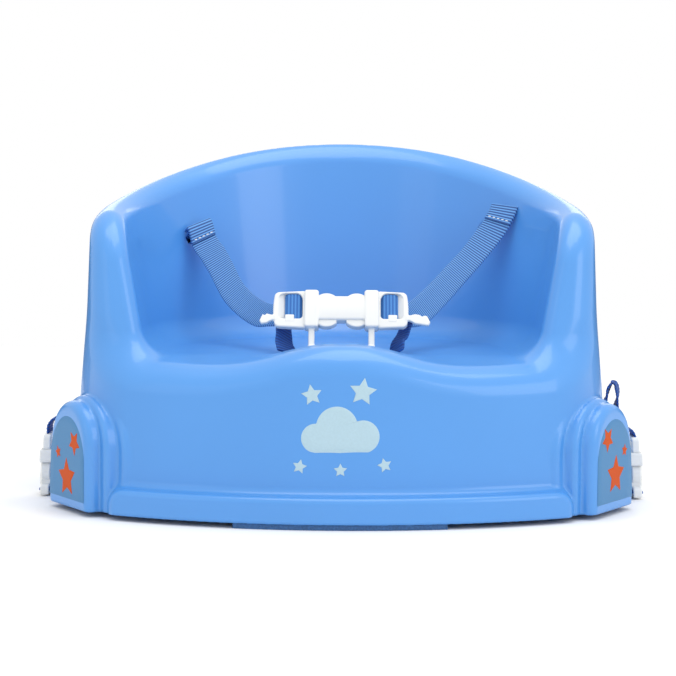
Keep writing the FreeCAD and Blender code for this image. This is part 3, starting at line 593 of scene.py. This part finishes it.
def make_chair_buckle(word, side):
    """The hanging socket and its plug with two squeeze arms, on one side."""
    place = chair_matrix(side)
    name = f"{word}_chair_buckle"
    piece = field_mesh(f"{name}_moulding", socket_field, (-32, -7, -14), (2, 7, 14), FINE, place)
    finish_piece(piece, WHITE, "buckle_white", "root", name)
    name = f"{word}_chair_plug"
    piece = field_mesh(f"{name}_moulding", chair_plug_field, (-19, -5, -14), (12, 5, 14), FINE,
                       place)
    finish_piece(piece, WHITE, "buckle_white", name, name)
    for end, turn in (("front", -side), ("rear", side)):
        def arm(x, y, z):
            return squeeze_arm_field(x, y + CHAIR_LEAN * (x + 30), turn * z,
                                     CHAIR_ARM_PROUD)
        bottom, top = sorted((turn * 5.0, turn * 13.0))
        node = f"{name}_{end}_arm"
        piece = field_mesh(f"{node}_moulding", arm, (-20, -4, bottom), (0, 4, top), FINE, place)
        finish_piece(piece, WHITE, "buckle_white", node, node)


# ---------------------------------------------------------------- webbing

RIB = 2.0         # from one cross rib to the next, along the strap
STEPS_PER_RIB = 6


def smooth_line(points, step):
    """Points at an even step along a smooth curve through the given points."""
    given = np.asarray(points, float)
    ends = np.vstack([2 * given[0] - given[1], given, 2 * given[-1] - given[-2]])
    fine = []
    for i in range(1, len(ends) - 2):
        p0, p1, p2, p3 = ends[i - 1:i + 3]
        for t in np.linspace(0, 1, 24, endpoint=False):
            fine.append(0.5 * (2 * p1 + (p2 - p0) * t + (2 * p0 - 5 * p1 + 4 * p2 - p3) * t**2
                               + (3 * p1 - p0 - 3 * p2 + p3) * t**3))
    fine = np.vstack([fine, ends[-2]])
    along = np.concatenate([[0], np.cumsum(np.linalg.norm(np.diff(fine[:, :3], axis=0), axis=1))])
    at = np.linspace(0, along[-1], max(int(along[-1] / step), 4))
    return np.stack([np.interp(at, along, fine[:, i]) for i in range(fine.shape[1])], axis=1), at


def ribbon_rows(points, widths, step, square):
    """Middle line, width axis, face axis and distance along a strap, at every step.

    A square ribbon keeps its ribs at right angles to its run; a sheared one follows widths.
    """
    both = np.hstack([np.asarray(points, float), np.asarray(widths, float)])
    line, at = smooth_line(both, step)
    middle, width = line[:, :3], line[:, 3:]
    run = np.gradient(middle, axis=0)
    run /= np.linalg.norm(run, axis=1)[:, None]
    if square:
        width = width - run * (width * run).sum(1)[:, None]
    width /= np.linalg.norm(width, axis=1)[:, None]
    face = np.cross(run, width)
    return middle, width, face / np.linalg.norm(face, axis=1)[:, None], at


def webbing(name, points, widths, wide=19.0, thick=1.4, lift=0.0, square=True):
    """A strap with cross ribs on both faces and slightly rounded selvedges."""
    middle, width, face, at = ribbon_rows(points, widths, RIB / STEPS_PER_RIB, square)
    crest = (0.5 + 0.5 * np.cos(at * 2 * math.pi / RIB)) ** 1.3
    spans = np.array([-1, -0.97, -0.9, -0.6, -0.2, 0.2, 0.6, 0.9, 0.97, 1])
    depth = np.array([0.35, 0.8, 1, 1, 1, 1, 1, 1, 0.8, 0.35])
    rings = []
    for sign in (1, -1):
        order = slice(None) if sign > 0 else slice(None, None, -1)
        for u, d in zip(spans[order], depth[order]):
            rib = 0.22 * crest * (d > 0.9)
            rings.append(middle + width * (u * (wide / 2 + 0.16 * crest))[:, None]
                         + face * (lift + sign * (thick / 2 - 0.08 + rib) * d)[:, None])
    grid = np.stack(rings, axis=1)
    rows, ring = grid.shape[:2]
    faces = []
    for i in range(rows - 1):
        for j in range(ring):
            k = (j + 1) % ring
            faces.append((i * ring + j, (i + 1) * ring + j, (i + 1) * ring + k, i * ring + k))
    faces.append(tuple(range(ring)))
    faces.append(tuple((rows - 1) * ring + j for j in range(ring - 1, -1, -1)))
    piece = add_piece(name, grid.reshape(-1, 3), faces)
    # The crest value is also stored for the webbing looks, which paint a highlight on the crests and
    # shade in the grooves.
    value = piece.data.attributes.new("crest", "FLOAT", "POINT")
    value.data.foreach_set("value", np.repeat(crest, ring).astype(np.float32))
    return piece


def join(name, pieces):
    """One object from several meshes that have no material yet."""
    with bpy.context.temp_override(active_object=pieces[0], selected_editable_objects=pieces):
        bpy.ops.object.join()
    pieces[0].name = name
    return pieces[0]


def stitch_row(name, middle, width, face, count, span, offset):
    """A row of short thread stitches across a strap, each a little arched bead."""
    points, faces = [], []
    length, radius = span / count * 0.62, 0.42
    for i in range(count):
        centre = middle + width * (span * ((i + 0.5) / count - 0.5)) + face * offset
        run = np.cross(width, face)
        base = len(points)
        rings = 7
        for j in range(rings):
            t = j / (rings - 1) * 2 - 1
            fat = radius * math.sqrt(max(1 - t**4, 0.02))
            for k in range(8):
                a = 2 * math.pi * k / 8
                points.append(centre + width * (t * length / 2) + run * (fat * math.cos(a) + 0.12 * t)
                              + face * (fat * math.sin(a) * 0.8))
        for j in range(rings - 1):
            for k in range(8):
                m = (k + 1) % 8
                faces.append((base + j * 8 + k, base + j * 8 + m, base + (j + 1) * 8 + m,
                              base + (j + 1) * 8 + k))
    return add_piece(name, points, faces)


# Routes of the lap straps, from the anchor in the hollow wall to the plug, with the direction of
# the strap's width at each point.
LEFT_STRAP = [(-106, 71, 165), (-103, 65, 170), (-101, 61.5, 174.5), (-99, 58.5, 176.8),
              (-97.4, 56, 174.5), (-94.8, 51.8, 166), (-91.4, 46.8, 161), (-87, 39, 156),
              (-80.5, 26, 146.4), (-72.1, 8, 133.2), (-61.6, -12, 124.4), (-50.5, -32, 119.6),
              (-42, -44, 120.6), (-35, -52.5, 121.8)]
LEFT_WIDTHS = [(.80, .49, .34)] * 5 + [(.79, .47, .39), (.78, .46, .41), (.76, .46, .44),
               (.70, .50, .50), (.66, .52, .54), (.62, .50, .60), (.56, .45, .70),
               (.50, .42, .75), (.45, .40, .80)]
RIGHT_STRAP = [(105, 72, 167), (107.5, 66, 168.5), (111.5, 62, 175), (113.8, 58, 183),
               (113.4, 54.5, 188.6), (110.8, 51.5, 190), (108.5, 49, 185), (105, 46.5, 179),
               (98.5, 42, 169.9), (87.1, 30, 156.6), (75.4, 14, 145), (63.8, -6, 133.9),
               (49.9, -32, 122.7), (41.5, -45, 120.8), (35, -52.5, 121.8)]
RIGHT_WIDTHS = [(-.76, .56, .33), (-.80, .52, .28), (-.86, .46, .2), (-.9, .41, .12),
                (-.9, .41, .12), (-.9, .41, .12), (-.88, .43, .17), (-.84, .45, .26),
                (-.76, .50, .40), (-.66, .58, .48), (-.62, .56, .54), (-.58, .52, .60),
                (-.54, .45, .70), (-.50, .42, .75), (-.45, .40, .80)]


def make_lap_strap(word, side, points, widths, fold):
    """A lap strap from its slot, over its sewn fold and down to the back of the plug."""
    strap = webbing(f"{word}_strap_main", points, widths, square=False)
    folded = slice(fold - 1, fold + 2)
    hem = webbing(f"{word}_strap_hem", points[folded], widths[folded], wide=18.8, thick=1.1,
                  lift=-side * 1.2, square=False)
    strap = join(f"{word}_strap_webbing", [strap, hem])
    finish_piece(strap, WEB, "webbing", None, f"{word}_waist_strap")
    middle, width, face, at = ribbon_rows(points[folded], widths[folded], 0.5, False)
    row = int(len(at) * 0.84)
    thread = stitch_row(f"{word}_strap_stitches", middle[row], width[row], face[row], 5, 16.0,
                        -side * 1.95)
    finish_piece(thread, THREAD, "webbing", "root")
    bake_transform(strap)


def make_plug_webbing(word, side):
    """Webbing over the plug's post, and the free end that hangs behind the frame."""
    place = buckle_matrix()

    def spot(x, y, z):
        return place @ Vector((side * (WEB_END + x), y, z))

    upright = place.to_3x3() @ Vector((0, 0, 1))
    run = [(12.6, 4.0), (11.6, 1.4), (10.6, -0.4), (8.6, -1.0), (6.0, -1.0), (3.4, -0.6),
           (2.0, 1.2), (1.8, 3.6)]
    wrap = webbing(f"{word}_wrap", [spot(x, y, 1.2) for x, y in run], [upright] * len(run),
                   wide=18.6)
    visible, start = (0.36, 13.5) if side < 0 else (0.16, 18.0)
    hang = [spot(start, 10, -4), spot((start + 12) / 2, 9.5, -12), spot(12.2, 8.5, -18),
            spot(11.0, 7.0, -23), spot(10.0, 6.0, -26)]
    across = [Vector((-side * visible, 0.85, 0.2))] * len(hang)
    tail = webbing(f"{word}_tail", hang, across, wide=17.0)
    # The free end is the lap strap's own blue webbing; its darker navy look is painted shade for where
    # it hangs in shadow behind the frame.
    finish_piece(tail, NAVY_AND_SHADE_WEB, "webbing", f"{word}_plug", f"{word}_strap_tail")
    finish_piece(wrap, SOFT_WEB, "webbing", f"{word}_plug")


def make_crotch_strap():
    """Short webbing loop from under the pan round the receiver's cross bar."""
    bottom = buckle_matrix() @ Vector((0, 0, LOOP_Z))
    x, y, z = 0, bottom.y, bottom.z
    points = [(x, -66.5, 88), (x, -67.5, 95), (x, y + 1.9, z - 2.4), (x, y + 2.9, z + 0.6),
              (x, y + 0.4, z + 2.9), (x, y - 2.6, z + 0.8), (x, y - 2.2, z - 2.6),
              (x, -70.8, 95), (x, -71.5, 88)]
    piece = webbing("crotch_webbing", points, [(1, 0, 0)] * len(points), wide=25.0, thick=1.2)
    finish_piece(piece, WEB, "webbing", "root", "crotch_strap")


# Side view of the short tabs: distance from the middle plane, and height.
LEFT_TAB = [(155, 60), (163, 60.3), (169, 58.5), (175, 54.5), (182, 51.5), (187.5, 50),
            (190.5, 46), (190.8, 40.5), (190.5, 37)]
RIGHT_TAB = [(155, 60), (163, 60), (170, 60.5), (173, 65), (174.5, 71.5), (177, 75), (179.5, 73),
             (180.5, 67), (179.5, 59), (181, 51.5), (185, 46.5), (189, 44.5), (190.8, 41),
             (190.5, 37)]


def make_chair_straps():
    """The tabs that hold the chair plugs, and the straps under and behind the seat."""
    for word, side, outline in (("left", -1, LEFT_TAB), ("right", 1, RIGHT_TAB)):
        points = [(side * x, TAB_Y, z) for x, z in outline]
        turned = [(0.25 * side * smooth_step(z, 60, 70), side, 0) for _, z in outline]
        tab = webbing(f"{word}_tab_webbing", points, turned)
        finish_piece(tab, NAVY_AND_SHADE_WEB, "webbing", None, f"{word}_chair_tab")
        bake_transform(tab)
    half = [(196.5, 4.4), (188, 4.4), (182, 3.2), (173, 1.3), (120, 1.0), (60, 1.0), (0, 1.0)]
    points = [(x, TAB_Y, z) for x, z in half] + [(-x, TAB_Y, z) for x, z in half[-2::-1]]
    seat = webbing("seat_strap_webbing", points, [(0, 1, 0)] * len(points), thick=1.3)
    finish_piece(seat, NAVY_AND_SHADE_WEB, "webbing", "root", "chair_seat_strap")
    radius = BACK_RADIUS + 1.1
    start = math.asin(63 / radius)
    ring = [(radius * math.cos(a), ARC_Y + radius * math.sin(a), BACK_STRAP_Z)
            for a in np.linspace(start + 0.03, math.pi - start - 0.03, 25)]
    ends = [(x, BACK_SLOT_Y, BACK_STRAP_Z) for x in (138, 146, -146, -138)]
    points = [*ends[:2], *ring, *ends[2:]]
    back = webbing("back_strap_webbing", points, [(0, 0, 1)] * len(points))
    finish_piece(back, NAVY_AND_SHADE_WEB, "webbing", "root", "chair_back_strap")


def make_back_slide():
    """Flat three-bar slide on the back strap."""
    face = ARC_Y + BACK_RADIUS + 1.9

    def slide(x, y, z):
        curve = y - face - 1.2 + x**2 / 330
        frame = round_both(rect(x, z - BACK_STRAP_Z, 11.0, 13.4, 2.2), np.abs(curve) - 0.8, 0.6)
        windows = rect(np.abs(x) - 4.9, z - BACK_STRAP_Z, 3.2, 10.2, 1.2)
        return round_both(frame, -windows, 0.4)

    piece = field_mesh("back_slide_moulding", slide, (-13, face - 4, BACK_STRAP_Z - 16),
                       (13, face + 4, BACK_STRAP_Z + 16), FINE)
    finish_piece(piece, WHITE, "buckle_white", "back_strap_slide", "back_strap_slide")


# ---------------------------------------------------------------- prints


def star_outline(x, y, radius, turn=0.0):
    """A plain five-pointed star."""
    out = []
    for i in range(10):
        a = math.radians(90 + 36 * i + turn)
        r = radius if i % 2 == 0 else radius * 0.5
        out.append((x + r * math.cos(a), y + r * math.sin(a)))
    return out


def cloud_outline(x, y, size):
    """A plain cloud: a flat foot under three round puffs."""
    puffs = [(-0.55, 0.32, 0.32), (-0.08, 0.56, 0.46), (0.5, 0.36, 0.36)]
    out = []
    for i in range(121):
        a = math.pi * i / 120
        direction = np.array([math.cos(a), math.sin(a)])
        reach = 0.0
        for px, py, r in puffs:
            b = direction @ np.array([px, py])
            inside = b * b - px * px - py * py + r * r
            if inside > 0:
                reach = max(reach, b + math.sqrt(inside))
        out.append((x + size * direction[0] * reach, y + size * direction[1] * reach))
    return out


def printed(name, outlines, surface, proud=0.12):
    """Flat printed shapes laid on a surface: a function from (u, v) to a point and a normal."""
    points, faces = [], []
    for outline in outlines:
        centre = np.mean(outline, axis=0)
        rings = [0.0, 0.25, 0.5, 0.75, 0.97, 1.0]
        count = len(outline)
        base = len(points)
        for ring in rings:
            for u, v in outline:
                p = centre + (np.array((u, v)) - centre) * max(ring, 0.001)
                spot, normal = surface(*p)
                points.append(spot + normal * (proud if ring < 1.0 else -0.1))
        for i in range(len(rings) - 1):
            for j in range(count):
                k = (j + 1) % count
                faces.append((base + i * count + j, base + (i + 1) * count + j,
                              base + (i + 1) * count + k, base + i * count + k))
    return add_piece(name, points, faces)


def apron_surface(u, v):
    """The point of the apron at x = u, z = v, and its outward normal."""
    point = np.array([[u, FRONT_CENTRE_Y - APRON_RADIUS, v]], float)
    for _ in range(12):
        x, y, z = point.T
        point[:, 1] += shell_field(x, y, z)
    slope = slope_at(point, shell_field, 0.2)[0]
    return point[0], slope / np.linalg.norm(slope)


def pod_surface(side, lift):
    """The flat face of a pod: u along it from its middle, v up from the rim."""
    along = np.array([side * math.cos(POD_ANGLE), math.sin(POD_ANGLE), 0])
    out = np.array([side * math.sin(POD_ANGLE), -math.cos(POD_ANGLE), 0])
    middle = np.array([side * POD_X, POD_Y, RIM_LOW]) + along * POD_HALF

    def surface(u, v):
        return middle + along * u * side + np.array([0, 0, v]) + out * lift, out

    return surface


def make_labels():
    """Arched labels on the pod faces."""
    half, spring, foot = 25.5, 31.0, 5.5
    arch = [(half * math.cos(a), spring + half * math.sin(a)) for a in np.linspace(0, math.pi, 41)]
    outline = [(half, foot + t * (spring - foot)) for t in (0.0, 0.33, 0.66)] + arch
    outline += [(-half, foot + t * (spring - foot)) for t in (0.66, 0.33, 0.0)]
    outline += [(half * t, foot) for t in (-0.66, -0.33, 0, 0.33, 0.66)]
    for word, side in (("left", -1), ("right", 1)):
        shifted = [(u + side * 0.5 - side * POD_LEAN * v - u / half * POD_LEAN * v, v)
                   for u, v in outline]
        piece = printed(f"{word}_label_film", [shifted], pod_surface(side, 0.1))
        finish_piece(piece, LABEL, "decal", "root", f"{word}_side_decal")


def make_prints():
    """Stars on the side labels, and a cloud with stars on the apron."""
    left = [star_outline(1, 18.5, 12.5, 3), star_outline(12, 41, 8.0, 182),
            star_outline(-11.5, 33, 4.0, 15)]
    right = [star_outline(0, 22, 12.5, -2), star_outline(-12, 45, 8.0, 176),
             star_outline(12.5, 36, 4.0, -8)]
    for word, side, stars in (("left", -1, left), ("right", 1, right)):
        piece = printed(f"{word}_label_stars", stars, pod_surface(side, 0.25))
        finish_piece(piece, ORANGE, "decal", "root")
    shapes = [cloud_outline(0, 44, 27), star_outline(-17, 78, 6.5, 10),
              star_outline(13, 80, 8.5, -8), star_outline(26, 37, 4.5, 15),
              star_outline(0, 34, 4.2, 0), star_outline(-24, 36, 4.5, -12)]
    piece = printed("front_print", shapes, apron_surface)
    finish_piece(piece, PALE, "shell_blue", "root")


make_shell()
make_lap_buckle()
for word, side in (("left", -1), ("right", 1)):
    make_chair_buckle(word, side)
make_lap_strap("left", -1, LEFT_STRAP, LEFT_WIDTHS, 4)
make_lap_strap("right", 1, RIGHT_STRAP, RIGHT_WIDTHS, 6)
for word, side in (("left", -1), ("right", 1)):
    make_plug_webbing(word, side)
make_crotch_strap()
make_chair_straps()
make_back_slide()
make_labels()
make_prints()

# ---------------------------------------------------------------- studio


def make_camera():
    """A long lens a metre in front of the seat, a little above its arms."""
    camera = bpy.data.cameras.new("camera")
    camera.sensor_width = 36.0
    camera.lens = 95.9
    rig = bpy.data.objects.new("camera", camera)
    bpy.context.scene.collection.objects.link(rig)
    pitch, yaw, roll = math.radians(-3.88), math.radians(0.3), math.radians(0.3)
    rig.location = (0.0037, -1.180, 0.183)
    aim = Matrix.Rotation(yaw, 4, "Z") @ Matrix.Rotation(math.radians(90) + pitch, 4, "X")
    rig.rotation_euler = (aim @ Matrix.Rotation(roll, 4, "Z")).to_euler()
    bpy.context.scene.camera = rig


def area_light(name, place, target, size, power):
    """A soft rectangular lamp, in metres and watts, that the camera does not see."""
    light = bpy.data.lights.new(name, "AREA")
    light.shape = "RECTANGLE"
    light.size, light.size_y = size
    light.energy = power
    lamp = bpy.data.objects.new(name, light)
    lamp.location = place
    lamp.rotation_euler = (Vector(target) - Vector(place)).to_track_quat("-Z", "Y").to_euler()
    lamp.visible_camera = False
    bpy.context.scene.collection.objects.link(lamp)


def stage_plane(name, corners, colour, roughness):
    """A plain four-cornered plane that is not part of the object."""
    mesh = bpy.data.meshes.new(name)
    mesh.from_pydata(corners, [], [(0, 1, 2, 3)])
    plane = bpy.data.objects.new(name, mesh)
    bpy.context.scene.collection.objects.link(plane)
    material, _, _, shader = new_material(name)
    shader.inputs["Base Color"].default_value = (*colour, 1)
    shader.inputs["Roughness"].default_value = roughness
    give(plane, material)
    return plane


FLOOR_HALF = 1.3
FLAG_NEAR, FLAG_FAR, FLAG_TALL = (1.25, 0.75), (0.28, 1.4), 0.34


def make_studio():
    """White surroundings, soft lamps, a pale floor and two dark flags for the gloss to reflect."""
    world = bpy.data.worlds.new("studio")
    bpy.context.scene.world = world
    world.use_nodes = True
    world.node_tree.nodes["Background"].inputs["Color"].default_value = (1, 1, 1, 1)
    world.node_tree.nodes["Background"].inputs["Strength"].default_value = 1.0
    area_light("top", (0.1, -0.1, 1.5), (0, 0, 0), (1.1, 0.9), 8)
    area_light("left", (-1.3, -1.3, 0.9), (0, 0, 0.1), (0.7, 1.1), 1)
    area_light("right", (1.4, -1.2, 1.0), (0, 0, 0.1), (0.9, 1.1), 6)
    for side in (-1, 1):
        area_light("rim", (side * 0.5, 1.35, 0.64), (side * 0.15, 0, 0.18), (0.55, 0.3), 0.7)
    floor = [(x * FLOOR_HALF, y * FLOOR_HALF, 0) for x, y in ((-1, -1), (1, -1), (1, 1), (-1, 1))]
    stage_plane("floor", floor, (0.90, 0.90, 0.90), 0.8)
    for side in (-1, 1):
        near, far = [(side * x, y) for x, y in (FLAG_NEAR, FLAG_FAR)]
        corners = [(*near, 0.0), (*far, 0.0), (*far, FLAG_TALL), (*near, FLAG_TALL)]
        flag = stage_plane("flag", corners, (0.05, 0.05, 0.06), 0.9)
        flag.visible_camera = False
        flag.visible_diffuse = False
        flag.visible_shadow = False
    bpy.context.scene.view_settings.view_transform = "Standard"


make_camera()
make_studio()
